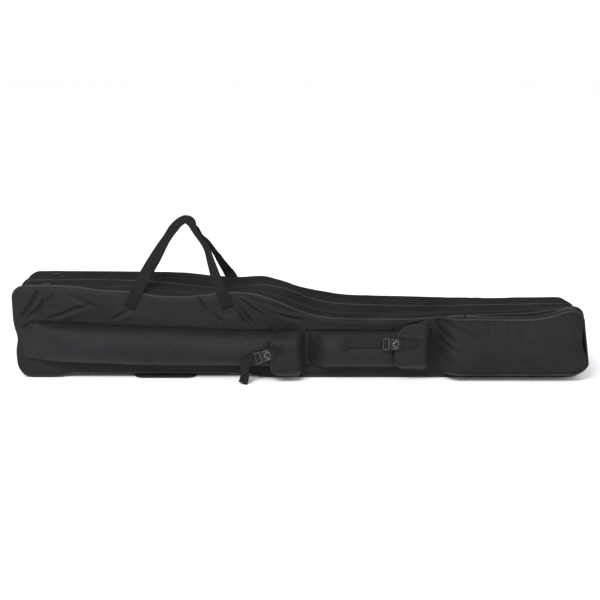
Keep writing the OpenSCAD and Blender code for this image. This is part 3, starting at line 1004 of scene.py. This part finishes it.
# Radii of its right and left corners, and how finely its outline is divided
TIP_R = 34
TIP_R0 = 22
TIP_N = 260
TIP_LEFT = TIP_X[0] - 18
TIP_EDGE = keyed([
    (380, TIP_Z[1] - 8), (410, TIP_Z[1] - 1), (450, TIP_Z[1]), (640, TIP_Z[1]), (690, TIP_Z[1] + 9),
    (735, TIP_Z[1] + 22), (790, TIP_Z[1] + 26)])


def tip_taper(p):
    """Thins the tip pocket towards its left end, where it is sewn down flatter."""
    share = lerp(0.05, 1.0, ramp(p.x, TIP_LEFT - 4, TIP_X[0] + 44))
    return Vector((p.x, -(FACE_Y + (-p.y - FACE_Y) * share), p.z))


def tip_shift(x, z):
    """The tip end stands in a little above its lowest third."""
    move = 9 * math.exp(-((z - 56) / 26) ** 2) - 9 * ramp(z, 70, 122)
    return x + move * ramp(x, TIP_X[1] - 90, TIP_X[1])


def tip_loop(inset, y, left_shift=0.0):
    """The tip pocket's outline at depth y: up its left end, along the top, down the right end and back."""
    r = TIP_R - inset
    r0 = TIP_R0 - inset
    left = TIP_LEFT + inset + left_shift + r0
    right = TIP_X[1] - inset - r
    low = TIP_Z[0] + inset

    def corner(x, z, radius, start, n):
        return [(x + radius * across, z + radius * up) for across, up in quarter(start, n)]

    points = corner(left, low + r0, r0, 270, 7) + corner(left, TIP_EDGE(left) - inset - r0, r0, 180, 7)
    points += [(x, TIP_EDGE(x) - inset) for x in spread(left, right, 10)[1:-1]]
    points += corner(right, TIP_EDGE(right) - inset - r, r, 90, 9) + corner(right, low + r, r, 0, 9)
    flat = resample([(tip_shift(x, z), y, z) for x, z in points + points[:1]], 1.0)
    return [flat[round(i * (len(flat) - 1) / TIP_N)] for i in range(TIP_N)]


def make_tip_band(name, y0, y1, left1, body, replaced, seed):
    """One ring of the tip pocket's gusset between two depths."""
    a = tip_loop(0.6, y0)
    b = tip_loop(0.6, y1, left1)
    n = max(2, round(abs(y1 - y0) / 4))
    rows = []
    for i in range(n + 1):
        t = i / n
        middle = [p.lerp(q, t) for p, q in zip(a, b)]
        swell = math.sin(math.pi * t)
        rows.append([tip_taper(p + o * swell * (1.0 + 1.6 * rumple(p.x, p.y, p.z, 55, seed)))
                     for p, o in zip(middle, normals_2d(middle, True))])
    return sheet_piece(name, rows, FLAP_T, body, "shell", replaced, close_cols=True)


def make_tip_zip():
    upper = [(p.x, p.z) for p in tip_loop(0.4, 0) if p.z > SIDE_Z]
    zip_halves("tip_zip", "tip_cover", "front_cover", TIP_PART, upper, tip_taper)


def make_tip_base():
    """The cloth under the tip pocket, where its front folds down."""
    loop = tip_loop(0.8, 0)
    first = max(i for i, p in enumerate(loop) if p.z > SIDE_Z + 3)
    order = loop[first:] + [p for p in loop[:40] if p.z < SIDE_Z + 3]
    rows = [[tip_taper(Vector((p.x, y, p.z))) for p in order]
            for y in spread(-TIP_PART + 9, -TIP_PART - 9, 2.5)]
    piece = sheet_piece("tip_pocket_fold_cloth", rows, POCKET_T, None, "shell")
    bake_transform(piece)


TIP_FOLDS = [
    ((372, 160), (430, 112), 8, 5.5), ((372, 128), (440, 84), 8, 5.0), ((374, 92), (420, 52), 8, 4.2),
    ((396, 172), (480, 132), 9, 3.4), ((430, 150), (520, 118), 12, 2.0), ((560, 46), (700, 84), 14, 2.6),
    ((640, 168), (735, 128), 14, 2.0), ((748, 176), (772, 120), 9, 2.4)]


def make_tip_front():
    """The crowned front of the tip pocket, with soft diagonal folds."""
    nx = 66
    nz = 30
    rows = []
    for i in range(nx + 1):
        x = lerp(TIP_LEFT + 0.8, TIP_X[1] - 0.8, i / nx)
        gap_left = x - TIP_LEFT
        gap_right = TIP_X[1] - x
        cut = max(corner_cut(gap_left, TIP_R0), corner_cut(gap_right, TIP_R))
        high = TIP_EDGE(min(x, TIP_X[1] - TIP_R)) - 0.8 - cut
        low = TIP_Z[0] + 0.8 + cut
        row = []
        for j in range(nz + 1):
            z = lerp(low, high, j / nz)
            edge = min(gap_left, gap_right, z - low, high - z)
            out = 5.0 * smooth(edge / 60) + 1.4 * rumple(x, 0, z, 85, 5.5) * smooth(edge / 30)
            for start, end, width, depth in TIP_FOLDS:
                out += crease(x, z, start, end, width, depth) * smooth(edge / 18)
            row.append(tip_taper(Vector((tip_shift(x, z), -TIP_Y - out, z))))
        rows.append(row)
    sheet_piece("tip_pocket_front_cloth", refine(settle(rows, -2.0, 0.012, 5.0)), -FLAP_T, "tip_cover",
                "shell", ("tip_pocket_front",))


def make_tip_pocket():
    make_tip_front()
    make_tip_band("tip_pocket_rim_cloth", -TIP_Y, -TIP_PART - 7, 0, "tip_cover", ("tip_pocket_rim",), 41)
    make_tip_band("tip_pocket_gusset_cloth", -TIP_PART + 7, -FACE_Y + 0.5, -4, "front_cover",
                  ("tip_pocket_gusset",), 42)
    make_tip_zip()
    make_tip_base()
    bm = bmesh.new()
    loop = tip_loop(0.0, -TIP_Y - 0.8)
    first = next(i for i, p in enumerate(loop) if p.x > TIP_LEFT + 26 and p.z > 100)
    add_tube(bm, [tip_taper(p) for p in loop[first:] if p.x > TIP_LEFT + 26 or p.z > 100], THIN_PIPING_R)
    finish_mesh("tip_pocket_piping_cord", bm, "tip_cover", "piping", ("tip_pocket_piping",))


# ---- Webbing ----

WEB_COLS = 8


def add_webbing(bm, points, sides, widths, thicks, ripple=0.0, seed=1.0):
    """A webbing strip; its sides, widths and thicknesses are lists along it, or one value for all of it."""
    n = len(points)
    sides, widths, thicks = (v if isinstance(v, list) else [v] * n for v in (sides, widths, thicks))
    uv = bm.loops.layers.uv.verify()
    rows = []
    coords = []
    travelled = 0.0
    for i, (p, s, d) in enumerate(zip(points, sides, frames_along(points))):
        if i:
            travelled += (p - points[i - 1]).length
        side = (s - d * s.dot(d)).normalized()
        normal = side.cross(d).normalized()
        ring = []
        for face in (1, -1):
            for k in range(WEB_COLS + 1):
                f = (-1 + 2 * k / WEB_COLS) * face
                lift = thicks[i] / 2 * (1 - 0.55 * abs(f) ** 8)
                wave = ripple * (32 / widths[i]) ** 1.6 * rumple(travelled, f * 18, 0, 24, seed)
                ring.append(p + side * (f * widths[i] / 2) + normal * (lift * face + wave))
                coords.append((travelled * MM, f * widths[i] / 2 * MM))
        rows.append(ring)
    verts = [v for ring in add_bar(bm, rows) for v in ring]
    places = dict(zip(verts, coords))
    for face in bm.faces:
        for loop in face.loops:
            if loop.vert in places:
                loop[uv].uv = places[loop.vert]


def keyed_path(stations, step):
    """A smooth path through stations of (x, y, z, width, thickness), with its widths and thicknesses."""
    points = spline([s[:3] for s in stations], step)
    marks = [0.0]
    for a, b in zip(stations, stations[1:]):
        marks.append(marks[-1] + (Vector(b[:3]) - Vector(a[:3])).length)
    n = len(points) - 1
    width, thick = (keyed([(m, s[k]) for m, s in zip(marks, stations)]) for k in (3, 4))
    places = [marks[-1] * i / n for i in range(n + 1)]
    return points, [width(m) for m in places], [thick(m) for m in places]


FOOT_Z = HANDLE_Z + 20
FOOT_OUT = 4.4
LEAN = math.atan2(FACE_Y + 1.0, HANDLE_TOP - FOOT_Z)


def make_handle(word, side, legs):
    """A webbing handle: sewn ends, feet past the piping, and legs that lean in and bunch at the top."""
    stations = []
    for x, along, width, thick in legs:
        sewn = min(1.0, max(0.0, -(along + 20) / 34))
        y = side * lerp(FACE_Y + FOOT_OUT, FACE_Y + 3.8, sewn)
        z = FOOT_Z + along
        if along >= 0:
            z = FOOT_Z + along * math.cos(LEAN)
            y -= side * along * math.sin(LEAN)
        stations.append((x, y, z, width, thick))
    points, widths, thicks = keyed_path(stations, 4.0)
    sides = []
    for p, d in zip(points, frames_along(points)):
        lean = 0 if p.z < FOOT_Z else LEAN
        sides.append(Vector((0, side * math.cos(lean), math.sin(lean))).cross(d))
    bm = bmesh.new()
    add_webbing(bm, points, sides, widths, thicks, ripple=1.8, seed=5 + side)
    piece = finish_mesh(word + "_handle_webbing", bm, None, "webbing", (word + "_handle",))
    y = side * (FACE_Y + FOOT_OUT) * MM
    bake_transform(piece)
    patches = bmesh.new()
    thread = bmesh.new()
    for x0, x1 in ((legs[0][0], legs[2][0]), (legs[-1][0], legs[-3][0])):
        patch = [Vector((lerp(x0, x1, (z - HANDLE_Z + 35) / 34), side * (FACE_Y + 2.4), z))
                 for z in spread(HANDLE_Z - 37, HANDLE_Z - 3, 4)]
        u = Vector((x1 - x0, 0, 34)).normalized()
        across = Vector((u.z, 0, -u.x))
        add_webbing(patches, patch, across, WEB_W + 1.5, 1.4)
        add_box_stitch(thread, Vector(((x0 + x1) / 2 - 1, side * (FACE_Y + 5.2), HANDLE_Z - 20)), across, u,
                       Vector((0, side, 0)), 23, 23)
    finish_mesh(word + "_handle_patches", patches, word + "_cover", "webbing", (word + "_handle_tabs",))
    finish_mesh(word + "_handle_stitches", thread, word + "_cover", "thread")


def add_box_stitch(bm, centre, u, v, normal, width, height):
    """A sewn box with a cross in it."""
    signs = ((-1, -1), (1, -1), (1, 1), (-1, 1))
    a, b, c, d = (centre + u * width / 2 * i + v * height / 2 * j for i, j in signs)
    for p, q in ((a, b), (b, c), (c, d), (d, a), (a, c), (b, d)):
        add_thread(bm, [p, q], normal)


def add_thread(bm, path, normal, pitch=3.6, length=2.6, radius=0.42):
    """A row of separate closed stitches along a path."""
    points = resample(path, pitch)
    for p, d in zip(points, frames_along(points)):
        s = normal.cross(d).normalized()
        rows = []
        for t, size, lift in ((-0.5, 0.5, -0.15), (-0.25, 1.0, 0.25), (0.25, 1.0, 0.25), (0.5, 0.5, -0.15)):
            q = p + d * length * t + normal * lift
            rows.append([q + size * radius * (math.cos(k) * s + math.sin(k) * normal)
                         for k in (0, 1.257, 2.513, 3.77, 5.027)])
        add_bar(bm, rows)


long_xs = spread(LONG_X[0], LONG_X[0] + 60, 5) + spread(LONG_X[0] + 60, LONG_X[1] + 30, 8)[1:]
long_rows = tube_rows(long_xs, LONG_LOW, LONG_TOP, long_depth)
make_tube_pocket("long", long_rows, ((1.2, 150, 3), (0.7, 46, 6)), 0.003, 2.2)
make_pocket_hems("long", spread(LONG_X[0] + 8, LONG_X[1], 12),
                 ((LONG_TOP, (2.6, 7, 8, 2.0), (5.0, 1.6, 2.7)),
                  (LONG_LOW, (1.6, -4, 7, 1.4), (3.4, -0.6, 1.2))))
short_xs = spread(SHORT_X[0], SHORT_X[0] + 44, 5) + spread(SHORT_X[0] + 44, SHORT_X[1] + 28, 7)[1:]
short_rows = tube_rows(short_xs, lambda x: SHORT_Z[0] + 1.5, lambda x: SHORT_Z[1] - 1, short_depth)
make_tube_pocket("short", short_rows, ((1.0, 110, 13), (0.6, 40, 16)), 0.004, 2.0)
make_pocket_hems("short", spread(SHORT_X[0], SHORT_X[1], 12),
                 ((lambda x: SHORT_Z[1], (2.2, 5.5, 7, 1.8), (3.8, 0.8, 1.9)),
                  (lambda x: SHORT_Z[0], (2.2, -3.5, 7, 1.8), (3.4, 0.2, 1.1))))
make_flap("long_flap", 51)
make_flap("short_flap", 57)
make_tip_pocket()

# Each leg station: x, distance along the handle from its foot, width and thickness
FRONT_LEGS = [
    (-472, -54, 32, 2.2), (-464, -38, 32, 2.2), (-456, -20, 32, 2.2), (-446, -2, 32, 2.2),
    (-425, 48, 32, 2.4), (-391, 112, 28, 2.6), (-366, 154, 25, 3.0), (-354, 173, 27, 3.8),
    (-340, 189, 26, 4.6), (-323, 200, 24, 5.0), (-307, 194, 27, 5.2), (-299, 179, 21, 4.6),
    (-293, 164, 15, 4.2), (-262, 119, 17, 3.4), (-247, 76, 22, 2.8), (-233, 33, 28, 2.4),
    (-220, -2, 31, 2.2), (-211, -20, 32, 2.2), (-205, -38, 32, 2.2), (-200, -54, 32, 2.2)]
REAR_LEGS = [
    (-468, -54, 32, 2.2), (-462, -38, 32, 2.2), (-456, -20, 32, 2.2), (-447, -2, 32, 2.2),
    (-420, 50, 31, 2.4), (-389, 112, 26, 2.8), (-366, 152, 22, 3.4), (-340, 186, 19, 4.4),
    (-322, 194, 18, 4.6), (-305, 178, 17, 4.4), (-287, 146, 14, 3.8), (-262, 106, 14, 3.2),
    (-244, 68, 17, 2.8), (-227, 32, 25, 2.4), (-211, -2, 31, 2.2), (-200, -20, 32, 2.2),
    (-195, -38, 32, 2.2), (-192, -54, 32, 2.2)]
make_handle("front", -1, FRONT_LEGS)
make_handle("rear", 1, REAR_LEGS)


# ---- Buckle webbing ----

SOCKET_MIDDLE = 16.8


class Buckle:
    """Places points in a buckle's own frame: u towards the socket, w across it, d away from the cloth."""

    def __init__(self, word, tilt):
        low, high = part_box(word + "_buckle_socket")
        t = math.radians(tilt)
        self.u = Vector((math.cos(t), 0, math.sin(t)))
        self.w = Vector((-math.sin(t), 0, math.cos(t)))
        middle = (low + high) / 2 / MM
        self.origin = Vector((middle.x, high.y / MM, middle.z)) - self.u * SOCKET_MIDDLE

    def at(self, u, d, w=0.0):
        return self.origin + self.u * u + self.w * w + OUT * d


LONG_BUCKLE = Buckle("long", 18)
SHORT_BUCKLE = Buckle("short", 0)


def even_webbing(name, points, side, body, replaced=(), width=TAIL_W, thick=1.6, step=3.0, ripple=0.3):
    """A webbing piece of constant width through given points."""
    bm = bmesh.new()
    add_webbing(bm, spline(points, step), side, width, thick, ripple=ripple, seed=3)
    return finish_mesh(name, bm, body, "tape", replaced)


def make_flap_strap(word, buckle, length):
    """Webbing from the socket's bar to its sewn end on the flap, with a box stitch."""
    at = buckle.at
    flap = word + "_flap"
    lie = -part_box(flap)[0].y / MM + buckle.origin.y + 4.6
    points = [at(28.6, 3.4), at(28.4, 9.0), at(30.5, 11.6), at(34.5, max(9.8, lie + 1)), at(38, lie + 0.8),
              at(43, lie), at(33 + length, lie - 0.2)]
    even_webbing(flap + "_webbing", points, buckle.w, flap, (flap + "_strap",))
    thread = bmesh.new()
    add_box_stitch(thread, at(33 + length - 12, lie + 1.2), buckle.u, buckle.w, OUT, 18, 19)
    finish_mesh(flap + "_stitches", thread, flap, "thread")


def make_ridges(word, buckle):
    """The moulded V on a socket's face, its rim, and the rounded lip along the plug's ladder bar."""
    at = buckle.at
    low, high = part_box(word + "_buckle_socket")
    face = (high.y - low.y) / MM
    bm = bmesh.new()
    for side in (-1, 1):
        add_tube(bm, spline([at(7.5, face + 0.2, side * 1.5), at(13, face + 0.5, side * 4.5),
                             at(21, face + 0.2, side * 10.5)], 1.5), 1.5, up=OUT)
        add_tube(bm, [at(6.5, face - 0.2, side * 12.6), at(15, face, side * 12.9),
                      at(24, face - 0.2, side * 12.6)], 0.8, up=OUT)
    add_tube(bm, [at(24.5, face, -9), at(25, face + 0.2, 0), at(24.5, face, 9)], 0.9, up=OUT)
    # The light gloss colour on these ridges is painted highlight.
    finish_mesh(word + "_socket_ridges", bm, word + "_flap", "gloss")


def make_plug_loop(word, buckle):
    """The tail's turn through the two slots of the plug."""
    route = ((-17.6, 2.1), (-14.6, 2.6), (-13.4, 5.0), (-13.0, 9.2), (-10.2, 11.3), (-7.3, 9.2),
             (-6.8, 5.0), (-5.6, 2.7), (-2.0, 2.2))
    even_webbing(word + "_plug_webbing", [buckle.at(u, d) for u, d in route], buckle.w, word + "_plug",
                 width=24, thick=1.4, step=1.5, ripple=0)


def make_tails():
    """The webbing from each plug: the long one hangs down in front, the short one is sewn down."""
    at = LONG_BUCKLE.at
    bm = bmesh.new()
    add_webbing(bm, spline([at(u, 0.3) for u in (-3, -18, -30, -44, -54)], 3.0), LONG_BUCKLE.w, TAIL_W, 1.5)
    low = -FACE_Y - LONG_OUT - 2.4
    turn = at(-47, 0)
    hang = spline([(turn.x + 2, low - 0.2, turn.z + 1), (turn.x + 0.5, low - 1.4, turn.z - 10),
                   (turn.x - 2.5, low - 0.6, turn.z - 24), (turn.x - 1.5, low - 1.4, turn.z - 42),
                   (turn.x - 4.5, low + 0.4, turn.z - 56), (turn.x - 8, low - 1.2, 4.2)], 3.0)
    sides = [Vector((1, 0, lerp(0.30, 0.0, min(1.0, i / 6)))) for i in range(len(hang))]
    add_webbing(bm, hang, sides, TAIL_W, 1.7, ripple=1.1, seed=9)
    finish_mesh("long_tail_webbing", bm, "front_cover", "webbing", ("long_tail_strap",))
    at = SHORT_BUCKLE.at
    lie = [at(-3, 0.3), at(-20, 0.3), at(-60, 0.3), at(-100, 0.6), at(-127.5, 0.8)]
    even_webbing("short_tail_webbing", lie, SHORT_BUCKLE.w, "front_cover", ("short_tail_strap",), thick=1.5,
                 step=4, ripple=0)
    end = [at(-130, 2.6, -2), at(-126, 4.2, -2), at(-116, 4.4, -1)]
    even_webbing("short_tail_fold", end, SHORT_BUCKLE.w, "front_cover", width=29, thick=1.8, step=2,
                 ripple=0)
    thread = bmesh.new()
    for u in (-119, -122):
        add_thread(thread, [at(u, 5.5, -13), at(u, 5.5, 11)], OUT)
    finish_mesh("short_tail_stitches", thread, "front_cover", "thread")


# ---- Inside: straps that hold the rods ----

def make_rod_straps():
    """Three upright straps on each side of the divider, each with a shorter one over it."""
    for side, word in SIDES:
        bm = bmesh.new()
        low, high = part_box(word + "_rod_straps")
        first = low.x / MM + 19
        for x in (first, first + 500, high.x / MM - 19):
            for dx, width, thick, ripple, route in (
                    (0, 38, 1.8, 0.5, ((2.4, 31), (4.4, 48), (6.4, 88), (5.0, 126), (2.4, 149))),
                    (1, 36, 1.6, 0.6, ((8.8, 76), (8.6, 100), (7.6, 118)))):
                path = spline([(x + dx, side * y, z) for y, z in route], 5.0)
                add_webbing(bm, path, Vector((1, 0, 0)), width, thick, ripple=ripple, seed=x + dx)
        finish_mesh(word + "_rod_webbing", bm, "bag", "webbing", (word + "_rod_straps",))


# ---- Shoulder strap and pad ----

def rounded_route(points, radius=17):
    """A ground route with its corners eased, as webbing lies when it is pushed flat."""
    pts = [Vector(p) for p in points]
    out = [pts[0]]
    for a, b, c in zip(pts, pts[1:], pts[2:]):
        r = min(radius, (b - a).length * 0.45, (c - b).length * 0.45)
        p = b + (a - b).normalized() * r
        q = b + (c - b).normalized() * r
        out += [p * (1 - t) ** 2 + b * 2 * t * (1 - t) + q * t ** 2 for t in (k / 6 for k in range(7))]
    return resample(out + [pts[-1]], 5.0)


def make_shoulder_strap():
    """The strap laid out on the ground, its ends thinned where they are sewn in under the base."""
    left = [(-716, 95), (-716, 150), (-640, 150), (-478, -60), (-380.4, -60)]
    right = [(-379.8, -60), (-262, -60), (-210, -60), (-138, 132), (-90, 152), (110, 152), (140, 128),
             (140, 95)]
    for word, route, sewn in (("left", left, 0), ("right", right, -1)):
        path = rounded_route([(x, y, 1.0) for x, y in route])
        thicks = []
        for p in path:
            full = ramp((p - path[sewn]).length, 8, 13)
            thicks.append(lerp(0.45, 1.6, full))
            p.z = lerp(0.3, 1.0, full)
        bm = bmesh.new()
        sides = [Vector((0, 0, 1)).cross(d) for d in frames_along(path)]
        add_webbing(bm, path, sides, WEB_W, thicks)
        finish_mesh("shoulder_webbing_" + word, bm, "bag", "webbing", ("shoulder_strap_" + word,))


PAD_ROUND = 26
PAD_SEAMS = (-20, 20)


def make_pad():
    """A crowned pad with a bound edge, its top swollen between the seams."""
    low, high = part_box("shoulder_pad")
    x0, x1 = low.x / MM + 2, high.x / MM - 2
    y0, y1 = low.y / MM + 2, high.y / MM - 2
    top = high.z / MM
    nx = 44
    ny = 18
    rows = []
    for i in range(nx + 1):
        x = lerp(x0, x1, i / nx)
        gap = min(x - x0, x1 - x)
        cut = corner_cut(gap, PAD_ROUND)
        row = []
        for j in range(ny + 1):
            y = lerp(y0 + cut, y1 - cut, j / ny)
            swell = smooth(min(gap, y - y0 - cut, y1 - cut - y) / 9)
            channel = sum(math.exp(-((y - (y0 + y1) / 2 + seam) / 2.2) ** 2) for seam in PAD_SEAMS)
            z = 2.6 + (top - 3.4) * swell - 1.3 * channel * swell
            row.append(Vector((x, y, z + 0.3 * rumple(x, y, 0, 30, 2.5) * swell)))
        rows.append(row)
    rows = refine(settle(rows, 1.0, 0.004, 0.6))
    bm = bmesh.new()
    close_shell(bm, add_grid(bm, rows), [[(p.x, p.y, 0.25) for p in row] for row in rows])
    pad = finish_mesh("shoulder_pad_cushion", bm, "pad", "pad", ("shoulder_pad",))
    border = [r[0] for r in rows] + rows[-1][1:-1] + [r[-1] for r in rows[::-1]] + rows[0][::-1][1:-1]
    bm = bmesh.new()
    loop = resample([Vector((p.x, p.y, 2.2)) for p in border + [border[0]]], 4.0)[:-1]
    add_tube(bm, loop, BINDING_R, closed=True, up=Vector((0, 0, 1)))
    finish_mesh("shoulder_pad_binding", bm, "pad", "piping")


# ---- Plastic and metal ----

def finish_hard(nodes, material, bevel):
    """Gives kept CAD nodes their material and softens their edges."""
    for name in nodes:
        piece = NODES[name]
        piece.data.materials.clear()
        piece.data.materials.append(MATERIALS[material])
        mod = piece.modifiers.new("edges", "BEVEL")
        mod.width = bevel * MM
        mod.segments = 3
        mod.limit_method = "ANGLE"
        mod.angle_limit = math.radians(40)
        mod.harden_normals = True


for word, buckle, length in (("long", LONG_BUCKLE, 30), ("short", SHORT_BUCKLE, 44)):
    make_flap_strap(word, buckle, length)
    make_ridges(word, buckle)
    make_plug_loop(word, buckle)
    finish_hard([word + "_buckle_socket"], "buckle", 0.9)
    # The plug's lighter plastic is painted highlight on its ladder bars.
    finish_hard([word + "_buckle_plug"], "ladder", 0.8)
    finish_hard([word + "_upper_prong", word + "_lower_prong"], "buckle", 0.5)
make_tails()
make_rod_straps()
make_shoulder_strap()
make_pad()
for word in ("front", "rear", "tip"):
    finish_hard([word + "_zip_slider", word + "_zip_pull"], "slider", 0.25)
finish_hard(["strap_adjuster"], "buckle", 0.9)
